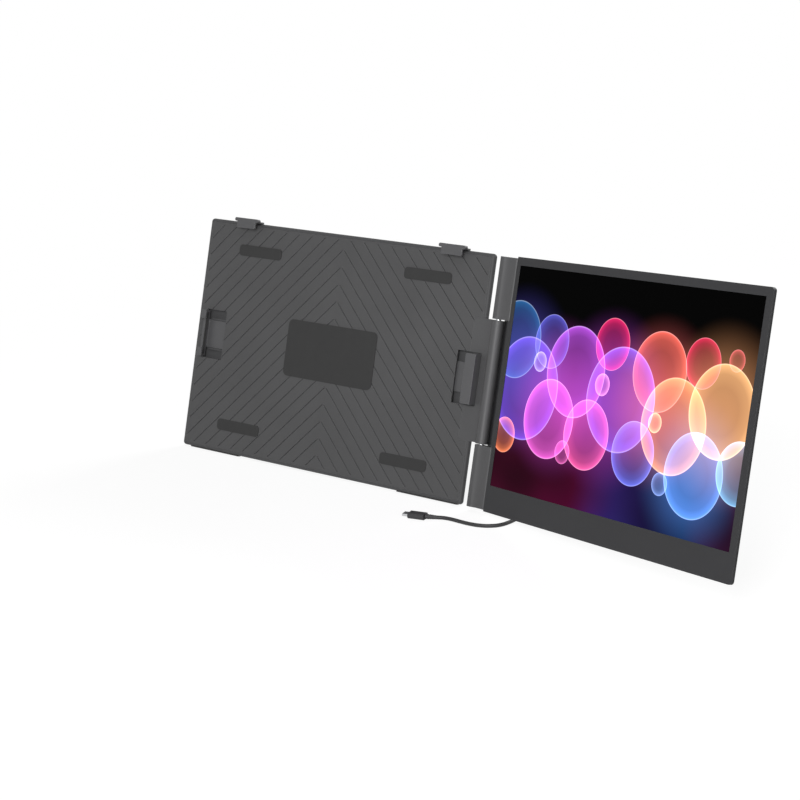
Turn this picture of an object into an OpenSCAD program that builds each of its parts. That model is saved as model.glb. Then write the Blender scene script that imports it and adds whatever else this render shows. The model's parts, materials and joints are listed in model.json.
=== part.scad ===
// Screen extender for a laptop: a flat clamp plate that grips the laptop's lid with
// four sliding clips, and a 16-inch screen on a three-knuckle friction hinge at the
// plate's right-hand edge. A flap on the plate's back props the pair up.
//
// Every piece is drawn in the plate's own upright frame: the screen's hinge axis is
// the Z axis, X runs to the right along the plate and Y points away from the user.
// Screen pieces are drawn flat, with the screen in line with the plate, and turned
// by on_screen(). place() then moves the middle of the lid rest to the origin and
// leans everything back as an open laptop lid leans.

/* [Posture] */
// Lean of the plate from the vertical, degrees
lean = 17.5; // [16:0.5:19]
// Turn of the screen towards the user from flat, degrees
toe_in = 19; // [5:1:40]

/* [Plate] */
// Width of the plate
plate_w = 382.6; // [375:0.1:390]
// Height of the plate and of the screen
plate_h = 250; // [246:1:256]
// Thickness of the plate, which is also the diameter of its round rim
plate_t = 7; // [6.8:0.1:7.4]
// Distance from the hinge axis to the plate's right edge
rim_gap = 16.4; // [15:0.1:18]
// Distance of the plate's front face behind the hinge axis
plate_front = 2; // [1.8:0.1:2.2]
// Vertical pitch of the diagonal grooves in the front panel
groove_pitch = 18; // [12:1:30]

/* [Lid clips] */
// Thickness of laptop lid that the clips take
lid_t = 6.4; // [5:0.1:7]
// Distance between the middles of the two top clips
top_spacing = 276; // [240:1:300]
// Length of the bar of a top clip
top_bar_w = 33; // [30:0.1:44]
// Width of the hook and stem of a top clip
top_stem_w = 25.6; // [20:0.1:28]
// Height of a side clip
side_clip_h = 50; // [40:1:54]
// Reach of the right side clip's hook over the lid
right_hook = 12; // [8:0.1:16]
// Reach of the left side clip's two fingers over the lid
left_hook = 6; // [4:0.1:10]
// Travel of a side clip towards the middle of the plate
side_travel = 26; // [10:1:28]

/* [Hinge] */
// Diameter of the hinge barrel
barrel_d = 12.5; // [12:0.1:13]
// Length of the middle knuckle, which belongs to the plate
middle_knuckle = 122; // [110:1:130]
// Diameter of the two hinge shafts
shaft_d = 5.5; // [5:0.1:6]

/* [Screen] */
// Width of the picture area
picture_w = 344.6; // [340:0.1:346]
// Height of the picture area
picture_h = 215.4; // [213:0.1:217]
// Distance from the hinge axis to the left side of the picture
picture_x = 24.2; // [23.5:0.1:26]
// Height of the chin below the picture
chin_h = 26.5; // [24:0.1:28]
// Width of the right bezel
bezel_r = 7.8; // [6:0.1:10]
// Thickness of the thin part of the screen, without the box on its back
screen_t = 7.4; // [7:0.1:8]

/* [Kickstand] */
// Width of the kickstand flap
stand_w = 140; // [100:1:150]
// Height of the kickstand's pivot above the plate's bottom edge
stand_z = 176; // [150:1:182]

/* [Cord] */
// Diameter of the USB cord
cord_d = 3.8; // [3.4:0.1:4]

/* [Hidden] */
$fn = 48;

// Plate: edges, and the layers from front to back
plate_x1 = -rim_gap;
plate_x0 = plate_x1 - plate_w;
plate_mid = (plate_x0 + plate_x1) / 2;
rim_r = plate_t / 2;
front_y = plate_front;
back_y = plate_front + plate_t;
panel_t = 1.6;
sheet_t = 0.8;
wall_t = 1.4;
panel_y = front_y + panel_t;
sheet_y = panel_y + sheet_t;
inner_y = back_y - wall_t;
groove_w = 1.2;
groove_depth = 0.5;
screw_x = [plate_x0 + 11, plate_x0 + 99, plate_x1 - 98.6, plate_x1 - 13.6];
screw_z = [12, plate_h - 12];
boss_r = 2.8;
boss_y = 5.4;

// Lid rest: one wide pad in the middle and a strip near each corner
pad_t = 0.6;
rest_pad = [120, 60];
rest_y = front_y - pad_t;
rest_z = plate_h / 2;

// Clips: the slider runs in the cavity, the hook stands in front of the lid
slide_y0 = sheet_y + 0.5;
slide_y1 = inner_y - 0.3;
hook_t = 2.2;
hook_y1 = rest_y - lid_t;
hook_y0 = hook_y1 - hook_t;
grip_t = 1.2;
top_x = [plate_mid + 6.7 - top_spacing / 2, plate_mid + 6.7 + top_spacing / 2];
bar_z0 = plate_h + 0.4;
bar_h = 3.8;
bar_depth = 4.4;
bridge_t = 1.6;
top_hook_drop = 6.8;
stem_z0 = plate_h - 50;
clip_wall = 2.6;
wall_back = sheet_y - 0.2;
side_z0 = (plate_h - side_clip_h) / 2;
side_z1 = side_z0 + side_clip_h;
finger_h = 9;
left_clip_x = plate_x0 + 12;
right_clip_x = plate_x1 + 0.2;
slider_l = 58;
slider_h = 30;
slot_play = 0.3;

// Hinge: knuckles from the bottom to the top, and the steel inside them
barrel_r = barrel_d / 2;
knuckle_gap = 1.2;
mid_z0 = (plate_h - middle_knuckle) / 2;
mid_z1 = mid_z0 + middle_knuckle;
end_inset = 1.5;
low_knuckle = [end_inset, mid_z0 - knuckle_gap];
high_knuckle = [mid_z1 + knuckle_gap, plate_h - end_inset];
fillet_r = 3;
bite = 0.03;
shaft_r = shaft_d / 2;
run_fit = 0.05;
band_r = shaft_r + 0.9;
steel_t = 1.5;
leaf_r = band_r + steel_t;
arm_r = shaft_r + steel_t;
leaf_h = 28;
leaf_l = 46;
leaf_z = [mid_z0 + 2, mid_z1 - 2 - leaf_h];
arm_h = 45;
arm_l = 66;
arm_z = [low_knuckle[1] - 2.8 - arm_h, high_knuckle[0] + 2.8];
web_l = 30;
web_back = barrel_r - 0.3;
wing_w = 19;
wing_y = -1.5;
roll_r = 2;
roll_x = wing_w - 2.2;
leaf_screw_k = [6, leaf_h - 6];
leaf_screw_x = 7 - leaf_l;
arm_screw_k = [8, arm_h - 8];
arm_screw_x = [wing_w + 15, arm_l - 8];

// Screen: layers from front to back, measured from the hinge axis
bezel_y = -0.8;
bezel_t = 1.2;
rim_y = bezel_y + bezel_t;
edge_t = 3.4;
screen_back = bezel_y + screen_t;
screen_wall = 1.4;
screen_x0 = barrel_r + 1.15;
relief_x = 17;
relief_y = 3;
screen_x1 = picture_x + picture_w + bezel_r;
corner_r = 3.5;
bevel = 7;
glass_t = 1;
glass_y = bezel_y + 0.7;
light_t = 1.8;
light_y = glass_y + glass_t;
light_back = light_y + light_t;
box_x = [84, 350];
box_z = [9, 92];
box_back = 12.8;
box_bevel = 2.5;
port_y = 9.6;
port_z = [36, 50, 64];
panel_x = [picture_x - 1.9, picture_x + picture_w + 3];
panel_z = [chin_h - 8, chin_h + picture_h + 3];
screw_s = [104, 235, 332];
screw_h = [21.5, 80];
button_z = [30, 50, 62];
button_y = 8.6;
button_r = 2.6;

// Slots in the back of the screen's box, for the speakers' sound and for warm air
speaker_s = [248, 292];
speaker_l = 32;
speaker_z = 50;
slot_w = 1.6;
vents = 10;
vent_s = 127;
vent_z = [66, 80];

// Kickstand: pivot, flap and the angle at which its foot meets the table
pivot_y = 6.6;
eye_r = 2.2;
pin_r = 1.2;
flap_t = 1.6;
flap_y0 = 7.2;
stand_x0 = plate_mid - stand_w / 2;
stand_x1 = plate_mid + stand_w / 2;
stand_foot_r = 1.05;
stand_foot_z = 5.8;
feet_drop = 0.8;
feet_y = [3.4, 7.6];
foot_dy = flap_y0 + flap_t / 2 - pivot_y;
foot_dz = stand_z - stand_foot_z;
foot_reach = sqrt(foot_dy * foot_dy + foot_dz * foot_dz);
table_z = -feet_y[1] * sin(lean) - feet_drop * cos(lean);
pivot_height = stand_z * cos(lean) - pivot_y * sin(lean) - table_z;
stand_open = lean - atan(foot_dy / foot_dz) + acos((pivot_height - stand_foot_r) / foot_reach);

// Cord: plug sizes, and the route from the screen's plug to the laptop's plug. The
// route is in the leaning frame; from the seventh point on it lies on the table.
plug = [11.6, 5.8];
plug_shell = [8.3, 2.5];
screen_plug_s = [62, box_x[0] - 0.4];
relief_l = 12;
laptop_plug_end = [164.5, -83.9, -118.9];
laptop_plug_start = [181.2, -80.6, -118.9];
cord_route = [
    [258.1, -35, -82.3], [248.6, -31.9, -83.3], [237, -26, -87], [227, -17, -96],
    [224, -5, -107], [229, 5, -116], [240, 8, -119.9], [251, 3, -119.9],
    [258, -8, -119.9], [260.5, -22, -119.9], [260.5, -36, -119.9], [260, -49, -119.9],
    [256.5, -60.5, -119.9], [249.5, -67.5, -119.9], [240.5, -71.5, -119.9],
    [230, -73, -119.9], [218, -72.8, -119.9], [206, -72, -119.9],
    [197, -73, -119.9], [191.5, -75.5, -119.7]
];
cord_steps = 3;
cord_sides = 8;

// ---------------------------------------------------------------- placing

// Moves a piece from the upright frame to its leaning place
module place() {
    rotate([-lean, 0, 0])
        translate([-plate_mid, -rest_y, -rest_z])
            children();
}

// Turns a flat-drawn screen piece towards the user
module on_screen() {
    place() rotate([0, 0, -toe_in]) children();
}

// Opens a folded kickstand piece until its foot meets the table
module on_stand() {
    place()
        translate([0, pivot_y, stand_z])
            rotate([stand_open, 0, 0])
                translate([0, -pivot_y, -stand_z])
                    children();
}

// ---------------------------------------------------------------- shapes

// Rectangle between two corners, with round corners
module round_rect(x0, x1, y0, y1, r) {
    translate([x0 + r, y0]) square([x1 - x0 - 2 * r, y1 - y0]);
    translate([x0, y0 + r]) square([x1 - x0, y1 - y0 - 2 * r]);
    for (x = [x0 + r, x1 - r], y = [y0 + r, y1 - r]) translate([x, y]) circle(r);
}

// Rounded slab that faces the user: a rectangle in X and Z with a depth in Y
module slab(x, y, z, r) {
    translate([0, y[1], 0])
        rotate([90, 0, 0])
            linear_extrude(y[1] - y[0])
                round_rect(x[0], x[1], z[0], z[1], r);
}

// Plain box between two corners
module box(x, y, z) {
    translate([x[0], y[0], z[0]]) cube([x[1] - x[0], y[1] - y[0], z[1] - z[0]]);
}

// Cylinder along Y from y0 to y1
module peg_y(x, z, y0, y1, r) {
    translate([x, y0, z]) rotate([-90, 0, 0]) cylinder(h = y1 - y0, r = r);
}

// Cylinder along X from x0 to x1
module rod_x(y, z, x0, x1, r) {
    translate([x0, y, z]) rotate([0, 90, 0]) cylinder(h = x1 - x0, r = r);
}

// Stadium: a bar of height h with half-round ends, as USB-C pieces have
module stadium(w, h) {
    square([w - h, h], center = true);
    for (x = [-1, 1]) translate([x * (w - h) / 2, 0]) circle(h / 2);
}

// The concave blend between the barrel and the front face of the web to its left. Its
// circle bites a little into both faces, so that it meets them at a slight angle.
module web_fillet() {
    y = front_y;
    cy = y - fillet_r + bite;
    reach = barrel_r + fillet_r - bite;
    cx = sqrt(reach * reach - cy * cy);
    k = barrel_r / reach;
    scale([-1, 1])
        difference() {
            polygon([[cx, y], [1, y], [1, 0], [cx * k, cy * k], [cx, cy]]);
            translate([cx, cy]) circle(fillet_r);
        }
}

// The plate's outer form: a slab whose rim is half round, with ball corners
module plate_form() {
    x = [plate_x0 + rim_r, plate_x1 - rim_r];
    z = [rim_r, plate_h - rim_r];
    y = front_y + rim_r;
    box(x, [front_y, back_y], z);
    for (k = z) rod_x(y, k, x[0], x[1], rim_r);
    for (k = x) translate([k, y, z[0]]) cylinder(h = z[1] - z[0], r = rim_r);
    for (kx = x, kz = z) translate([kx, y, kz]) sphere(rim_r);
}

// Counterbored screw: a sunk pan head with its shank, along Y from the back
module screw(x, z, head_y, tip_y, head_r = 2.2, shank_r = 1.1) {
    difference() {
        peg_y(x, z, head_y, head_y + 1.1, head_r);
        for (a = [0, 90])
            translate([x, head_y + 0.9, z])
                rotate([0, a, 0])
                    cube([2.4, 1, 0.5], center = true);
    }
    peg_y(x, z, tip_y, head_y, shank_r);
}

// ---------------------------------------------------------------- plate

// The space behind the front panel where the spine cover sits
module spine_bay(play) {
    box([-web_l - play, 0], [front_y - 1, back_y + 1], [mid_z0 - play, mid_z1 + play]);
}

// Openings for the side clips, from the front into the cavity
module side_slots() {
    z = [side_z0 - 1.5, side_z1 + 1.5];
    box([left_clip_x - slot_play, left_clip_x + clip_wall + side_travel + slot_play],
        [front_y - 1, sheet_y + 0.2], z);
    box([right_clip_x - clip_wall - side_travel - slot_play, right_clip_x + slot_play],
        [front_y - 1, sheet_y + 0.2], z);
}

// Pocket in the back where the folded kickstand lies flush
module stand_pocket() {
    slab([stand_x0 - 1, stand_x1 + 1], [flap_y0 - 0.3, back_y + 1],
         [3.4, stand_z + 3.4], 2);
    box([stand_x0 - 1, stand_x1 + 1], [sheet_y, back_y + 1],
        [stand_z - 3.4, stand_z + 3.4]);
    peg_y(plate_mid, 2, flap_y0 - 0.3, back_y + 1, 11);
}

module back_cover() {
    color("#3c3d3f") place() {
        difference() {
            union() {
                difference() {
                    plate_form();
                    slab([plate_x0 + rim_r, plate_x1 - rim_r], [front_y - 1, inner_y],
                         [rim_r, plate_h - rim_r], 2);
                }
                box([stand_x0 - 2.6, stand_x1 + 2.6], [5.6, inner_y + 0.2],
                    [rim_r - 0.5, stand_z + 5]);
                for (x = screw_x, z = screw_z) peg_y(x, z, boss_y, inner_y + 0.2, boss_r);
                for (z = leaf_z, k = leaf_screw_k)
                    peg_y(leaf_screw_x, z + k, leaf_r, inner_y + 0.2, boss_r);
            }
            spine_bay(0.1);
            stand_pocket();
            for (x = top_x)
                box([x - top_stem_w / 2 - 0.3, x + top_stem_w / 2 + 0.3],
                    [slide_y0 - 0.3, slide_y1 + 0.3], [plate_h - 6, plate_h + 1]);
            for (x = screw_x, z = screw_z) {
                peg_y(x, z, boss_y - 1, back_y + 1, 1.3);
                peg_y(x, z, back_y - 1.1, back_y + 1, 2.4);
            }
            for (z = leaf_z, k = leaf_screw_k)
                peg_y(leaf_screw_x, z + k, leaf_r - 1, inner_y - 0.4, 1.1);
            for (x = feet_x()) box(x, feet_y, [-1, 1]);
        }
    }
}

// X ranges of the two rubber feet along the plate's bottom edge
function feet_x() = [[plate_x0 + 12, plate_x0 + 82], [plate_x1 - 82, plate_x1 - 6]];

// Diagonal grooves: a fan of parallel lines in each half, mirrored at the middle
module chevron_grooves() {
    half = plate_w / 2 - rim_r;
    runs = ceil((plate_h + half) / groove_pitch);
    for (side = [-1, 1], i = [0:runs])
        translate([plate_mid, 0, 0])
            intersection() {
                translate([0, front_y + groove_depth, 0])
                    rotate([90, 0, 0])
                        linear_extrude(groove_depth + 1)
                            polygon(groove_line(side, i * groove_pitch, half));
                box([-half + 2, half - 2], [0, back_y], [rim_r + 2, plate_h - rim_r - 2]);
            }
}

// One groove that climbs at 45 degrees towards the middle, as a thin parallelogram
function groove_line(side, rise, half) =
    let (w = groove_w * sqrt(2) / 2, z1 = rise, z0 = rise - half)
    [[side * 0.8, z1 - w], [side * half, z0 - w], [side * half, z0 + w], [side * 0.8, z1 + w]];

module front_panel() {
    color("#4a4b4d") place() {
        difference() {
            union() {
                slab([plate_x0 + rim_r + 0.1, plate_x1 - rim_r - 0.1], [front_y, panel_y],
                     [rim_r + 0.1, plate_h - rim_r - 0.1], 2);
                for (x = screw_x, z = screw_z) peg_y(x, z, panel_y - 0.2, boss_y, boss_r);
            }
            chevron_grooves();
            spine_bay(0.1);
            side_slots();
            for (x = screw_x, z = screw_z) peg_y(x, z, 4, boss_y + 1, 1.1);
        }
    }
}

module carry_sheet() {
    color("#8d9093") place() {
        difference() {
            slab([plate_x0 + 6, -leaf_l - 2], [panel_y, sheet_y], [6, plate_h - 6], 4);
            side_slots();
            box([stand_x0 - 1, stand_x1 + 1], [panel_y - 1, sheet_y + 1],
                [stand_z - 3.4, stand_z + 3.4]);
            for (x = screw_x, z = screw_z) peg_y(x, z, panel_y - 1, sheet_y + 1, boss_r + 0.3);
        }
    }
}

module lid_pads() {
    color("#232425") place() {
        slab([plate_mid - rest_pad[0] / 2, plate_mid + rest_pad[0] / 2], [rest_y, front_y],
             [rest_z - rest_pad[1] / 2, rest_z + rest_pad[1] / 2], 6);
        for (x = [plate_x0 + 48, plate_x1 - 108], z = [24, plate_h - 36])
            slab([x, x + 60], [rest_y, front_y], [z, z + 12], 4);
    }
}

module plate_screws() {
    color("#6f7275") place()
        for (x = screw_x, z = screw_z) screw(x, z, back_y - 1.1, 4.2);
}

module bottom_feet() {
    color("#1c1d1e") place()
        for (x = feet_x()) box(x, feet_y, [-feet_drop, 1]);
}

// ---------------------------------------------------------------- hinge

// The plate's knuckle with the web that joins it to the plate
module spine_cover() {
    color("#55565a") place() {
        difference() {
            translate([0, 0, mid_z0])
                linear_extrude(middle_knuckle)
                    union() {
                        circle(barrel_r);
                        polygon([[-web_l, front_y], [0, front_y], [0, web_back], [-11, web_back],
                                 [-15, back_y], [-web_l, back_y]]);
                        web_fillet();
                    }
            translate([0, 0, mid_z0 - 1]) cylinder(h = middle_knuckle + 2, r = leaf_r + 0.15);
            for (z = leaf_z)
                box([-web_l - 1, 0], [band_r - 0.1, leaf_r + 0.1], [z - 0.2, z + leaf_h + 0.2]);
            box([-web_l - 1, right_clip_x + slot_play], [front_y - 1, inner_y],
                [side_z0 - 1.5, side_z1 + 1.5]);
        }
    }
}

// Steel leaf rolled round the shaft's torque bands and screwed to the back cover
module leaf(z) {
    color("#9a9da0") place()
        translate([0, 0, z])
            difference() {
                union() {
                    cylinder(h = leaf_h, r = leaf_r);
                    box([-leaf_l, 0], [band_r, leaf_r], [0, leaf_h]);
                }
                translate([0, 0, -1]) cylinder(h = leaf_h + 2, r = band_r);
                for (k = leaf_screw_k) {
                    peg_y(leaf_screw_x, k, 0, leaf_r + 1, 1.3);
                    peg_y(leaf_screw_x, k, 0, band_r + 0.9, 2.4);
                }
            }
}

module leaf_lower() { leaf(leaf_z[0]); }
module leaf_upper() { leaf(leaf_z[1]); }

// Spring bands that grip the shafts and hold the screen where it is turned
module torque_bands() {
    band_h = 6.2;
    color("#7b6a4a") place()
        for (z = leaf_z, i = [0:3])
            translate([0, 0, z + 0.9 + i * (band_h + 0.5)])
                difference() {
                    cylinder(h = band_h, r = band_r);
                    translate([0, 0, -1]) cylinder(h = band_h + 2, r = shaft_r + run_fit);
                }
}

module leaf_screws() {
    color("#6f7275") place()
        for (z = leaf_z, k = leaf_screw_k) {
            peg_y(leaf_screw_x, z + k, band_r + 0.05, band_r + 0.9, 2.2);
            peg_y(leaf_screw_x, z + k, band_r + 0.9, inner_y - 0.6, 1.1);
        }
}

module hinge_shafts() {
    l = knuckle_gap + leaf_h + arm_h + 6.6;
    color("#b4b7ba") on_screen() {
        translate([0, 0, leaf_z[0] + leaf_h + 0.5 - l]) cylinder(h = l, r = shaft_r);
        translate([0, 0, leaf_z[1] - 0.5]) cylinder(h = l, r = shaft_r);
    }
}

// Steel arm pressed on the shaft, which carries the screen
module arm(z) {
    color("#9a9da0") on_screen()
        translate([0, 0, z])
            difference() {
                union() {
                    cylinder(h = arm_h, r = arm_r);
                    linear_extrude(arm_h)
                        polygon([[0, shaft_r], [9, shaft_r], [12, light_back + 0.1],
                                 [arm_l, light_back + 0.1], [arm_l, light_back + 0.1 + steel_t],
                                 [11.4, light_back + 0.1 + steel_t], [8.4, arm_r], [0, arm_r]]);
                }
                translate([0, 0, -1]) cylinder(h = arm_h + 2, r = shaft_r);
                for (x = arm_screw_x, k = arm_screw_k) {
                    peg_y(x, k, light_back, light_back + 0.9, 2.2);
                    peg_y(x, k, light_back, screen_back, 1.1);
                }
            }
}

module arm_lower() { arm(arm_z[0]); }
module arm_upper() { arm(arm_z[1]); }

// Outline of a screen knuckle: the barrel, and a flat wing that stands a little proud of
// the bezel and rolls down to it at its end
module knuckle_outline() {
    circle(barrel_r);
    translate([roll_x, wing_y + roll_r - bite]) circle(roll_r);
    polygon([[0, wing_y], [roll_x, wing_y], [roll_x, bezel_y], [wing_w, bezel_y],
             [wing_w, screen_back], [4, screen_back], [0, barrel_r]]);
}

// Knuckle moulding of the screen, hollow for the shaft and the steel arm
module knuckle(z, bore_z) {
    color("#5a5b5e") on_screen()
        difference() {
            translate([0, 0, z[0]]) linear_extrude(z[1] - z[0]) knuckle_outline();
            translate([0, 0, bore_z[0]]) cylinder(h = bore_z[1] - bore_z[0], r = arm_r + 0.1);
            box([0, wing_w + 1], [shaft_r - 0.1, light_back + steel_t + 0.4],
                [bore_z[0] + 1, bore_z[1] - 1]);
        }
}

module knuckle_lower() { knuckle(low_knuckle, [arm_z[0] - 2.5, low_knuckle[1] + 1]); }
module knuckle_upper() { knuckle(high_knuckle, [high_knuckle[0] - 1, arm_z[1] + arm_h + 2.5]); }

// ---------------------------------------------------------------- clips

// Spring clip over the lid's top edge: a bar with its hook, and a low bridge that runs
// back to the stem inside the plate
module top_clip(x) {
    stem_x = [x - top_stem_w / 2, x + top_stem_w / 2];
    bridge_z = [bar_z0, bar_z0 + bridge_t];
    color("#4b4c4f") place() {
        slab([x - top_bar_w / 2, x + top_bar_w / 2], [hook_y0, hook_y0 + bar_depth],
             [bar_z0, bar_z0 + bar_h], bar_h / 2 - 0.1);
        slab(stem_x, [hook_y0, hook_y1], [bar_z0 - top_hook_drop, bar_z0 + 2], 1);
        box(stem_x, [hook_y1, slide_y1], bridge_z);
        box(stem_x, [slide_y0, slide_y1], [stem_z0, bridge_z[1]]);
    }
}

// Rubber strip under the bar, where the clip sits on the lid's edge
module top_pad(x) {
    color("#232425") place()
        box([x - top_stem_w / 2 + 1, x + top_stem_w / 2 - 1], [hook_y1 + 0.2, front_y - 0.8],
            [bar_z0 - 0.5, bar_z0]);
}

module top_clip_left() { top_clip(top_x[0]); }
module top_clip_right() { top_clip(top_x[1]); }
module top_pad_left() { top_pad(top_x[0]); }
module top_pad_right() { top_pad(top_x[1]); }

// Slider of a side clip from x0 to x1 between its guides, and the neck that joins it
// to the clip's wall at wall_x
module side_slider(x0, x1, wall_x) {
    z = [rest_z - slider_h / 2, rest_z + slider_h / 2];
    box([x0, x1], [slide_y0, slide_y1], z);
    box([wall_x, wall_x + clip_wall], [wall_back - 1, slide_y1], z);
}

// Left clip: its hook is two fingers with an open gap between them
module side_clip_left() {
    x = left_clip_x;
    color("#5b5c5f") place() {
        box([x, x + clip_wall], [hook_y0 + 5, wall_back], [side_z0, side_z1]);
        for (z = [side_z0, side_z1 - finger_h]) {
            box([x, x + clip_wall], [hook_y0 + 0.6, wall_back], [z, z + finger_h]);
            slab([x, x + clip_wall + left_hook - 2], [hook_y0, hook_y1], [z, z + finger_h], 1);
        }
        side_slider(x, x + slider_l, x);
    }
}

// Right clip: one broad hook over the lid's right bezel
module side_clip_right() {
    x = right_clip_x;
    color("#5b5c5f") place() {
        box([x - clip_wall, x], [hook_y0 + 0.6, wall_back], [side_z0, side_z1]);
        slab([x - right_hook, x], [hook_y0, hook_y1], [side_z0, side_z1], 2);
        side_slider(x - slider_l, x, x - clip_wall);
    }
}

module side_pad_left() {
    x = left_clip_x + clip_wall;
    color("#232425") place()
        box([x, x + grip_t], [hook_y0 + 5.2, rest_y - 0.4], [side_z0 + 2, side_z1 - 2]);
}

module side_pad_right() {
    x = right_clip_x - clip_wall;
    color("#232425") place()
        box([x - grip_t, x], [hook_y1 + 0.4, rest_y - 0.4], [side_z0 + 2, side_z1 - 2]);
}

// Rails inside the plate on both sides of every slider
module clip_guides() {
    color("#2d2e30") place() {
        for (x = top_x, side = [-1, 1])
            translate([x + side * (top_stem_w / 2 + 1.3), 0, 0])
                box([-1, 1], [sheet_y + 0.1, inner_y], [stem_z0 + 4, plate_h - rim_r - 3]);
        for (side = [-1, 1])
            translate([0, 0, rest_z + side * (slider_h / 2 + 1.3)]) {
                box([left_clip_x + 6, left_clip_x + slider_l + side_travel],
                    [sheet_y + 0.1, inner_y], [-1, 1]);
                box([right_clip_x - slider_l - side_travel, -leaf_l - 3],
                    [sheet_y + 0.1, inner_y], [-1, 1]);
            }
    }
}

// Close-wound springs that pull the top clips down, each with two end loops
module lift_springs() {
    r = 1.4;
    l = 38;
    color("#b4b7ba") place()
        for (x = top_x, side = [-1, 1])
            translate([x + side * 6, (sheet_y + inner_y) / 2, stem_z0 - l - 5])
                difference() {
                    union() {
                        cylinder(h = l, r = r);
                        for (z = [-1.6, l + 1.6])
                            translate([0, 0, z])
                                rotate([90, 0, 0])
                                    rotate_extrude() translate([1.6, 0]) circle(0.3);
                    }
                    translate([0, 0, 1]) cylinder(h = l - 2, r = r - 0.45);
                }
}

// Rubber brakes that press on the side sliders and hold the side clips in place
module slider_brakes() {
    color("#232425") place()
        for (x = [left_clip_x + 38, right_clip_x - 56])
            box([x, x + 18], [sheet_y, slide_y0 - 0.05], [rest_z - 10, rest_z + 10]);
}

// ---------------------------------------------------------------- kickstand

module stand_brackets() {
    color("#8d9093") place()
        for (x = [stand_x0 - 1, stand_x1 + 1 - 2.4])
            difference() {
                box([x, x + 2.4], [sheet_y + 0.05, 8.6], [stand_z - 3.3, stand_z + 3.3]);
                rod_x(pivot_y, stand_z, x - 1, x + 4, pin_r);
            }
}

module stand_pin() {
    color("#b4b7ba") place() rod_x(pivot_y, stand_z, stand_x0 - 0.8, stand_x1 + 0.8, pin_r);
}

module stand_leg() {
    x = [stand_x0 + 1.6, stand_x1 - 1.6];
    color("#4f5053") on_stand()
        difference() {
            union() {
                rod_x(pivot_y, stand_z, x[0], x[1], eye_r);
                slab(x, [flap_y0, flap_y0 + flap_t], [stand_foot_z, stand_z], 1.5);
                box(x, [flap_y0, flap_y0 + flap_t], [stand_z - 8, stand_z]);
            }
            rod_x(pivot_y, stand_z, x[0] - 1, x[1] + 1, pin_r + run_fit);
            slab([plate_mid - 22, plate_mid + 22], [flap_y0 - 1, flap_y0 + flap_t + 1],
                 [stand_foot_z - 8, stand_foot_z + 14], 6);
        }
}

// Rubber beads on the two ends of the flap's lower edge
module stand_foot() {
    y = flap_y0 + flap_t / 2;
    color("#1c1d1e") on_stand()
        for (x = [[stand_x0 + 4, plate_mid - 25], [plate_mid + 25, stand_x1 - 4]])
            difference() {
                rod_x(y, stand_foot_z, x[0], x[1], stand_foot_r);
                box([x[0] - 1, x[1] + 1], [flap_y0, flap_y0 + flap_t],
                    [stand_foot_z, stand_foot_z + 4]);
            }
}

// ---------------------------------------------------------------- screen

// Corners of the screen's left edge where the knuckle mouldings sit
module knuckle_bays() {
    for (z = [[-1, low_knuckle[1] + 0.1], [high_knuckle[0] - 0.1, plate_h + 1]])
        box([-1, wing_w + 0.1], [-5, 20], z);
}

// Space beside the middle knuckle, where the screen's left edge slopes back from the
// bezel so that the round barrel stands free
module barrel_relief() {
    translate([0, 0, low_knuckle[1]])
        linear_extrude(high_knuckle[0] - low_knuckle[1])
            polygon([[screen_x0, relief_y], [relief_x, bezel_y], [relief_x, bezel_y - 1],
                     [screen_x0 - 1, bezel_y - 1], [screen_x0 - 1, relief_y]]);
}

// Wall of the rear shell behind that slope
module relief_wall() {
    slope = (bezel_y - relief_y) / (relief_x - screen_x0);
    x = screen_x0 + screen_wall;
    y = relief_y + 1.1 * screen_wall;
    translate([0, 0, low_knuckle[1] + 0.1])
        linear_extrude(high_knuckle[0] - low_knuckle[1] - 0.2)
            polygon([[screen_x0, rim_y], [screen_x0 + (rim_y - y) / slope, rim_y],
                     [x, y + slope * screen_wall], [x, y + 1], [screen_x0, y + 1]]);
}

module front_bezel() {
    color("#3f4042") on_screen()
        difference() {
            slab([screen_x0, screen_x1], [bezel_y, rim_y], [0, plate_h], corner_r);
            box([picture_x, picture_x + picture_w], [bezel_y - 1, rim_y + 1],
                [chin_h, chin_h + picture_h]);
            box(panel_x, [glass_y, rim_y + 1], panel_z);
            knuckle_bays();
            barrel_relief();
        }
}

module lcd_panel() {
    color("#0b0c0e") on_screen() box(panel_x, [glass_y, light_y], panel_z);
}

module backlight_unit() {
    color("#c9ccce") on_screen()
        difference() {
            box(panel_x, [light_y, light_back], panel_z);
            for (x = screw_s, z = screw_h) peg_y(x, z, light_y + 0.5, light_back + 1, 1.1);
        }
}

// Outer or inner form of the rear shell: straight rim, bevelled back, box below
module shell_form(inset, front) {
    x1 = screen_x1 - inset;
    z = [inset, plate_h - inset];
    back = screen_back - inset;
    r = corner_r - inset / 2;
    hull() {
        slab([screen_x0 + inset, x1], [front, edge_t - 0.8 - inset / 2], z, r, $fn = 32);
        slab([screen_x0 + inset, x1 - bevel], [back - 0.1, back],
             [z[0] + bevel - 2, z[1] - bevel], r, $fn = 32);
    }
    hull() {
        slab([box_x[0] + inset, box_x[1] - inset], [back - 2, back - 1.9],
             [box_z[0] + inset, box_z[1] - inset], 3, $fn = 32);
        slab([box_x[0] + inset, box_x[1] - inset], [box_back - inset - 0.1, box_back - inset],
             [box_z[0] + inset + box_bevel, box_z[1] - inset - 3 * box_bevel], 3, $fn = 32);
    }
}

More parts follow.
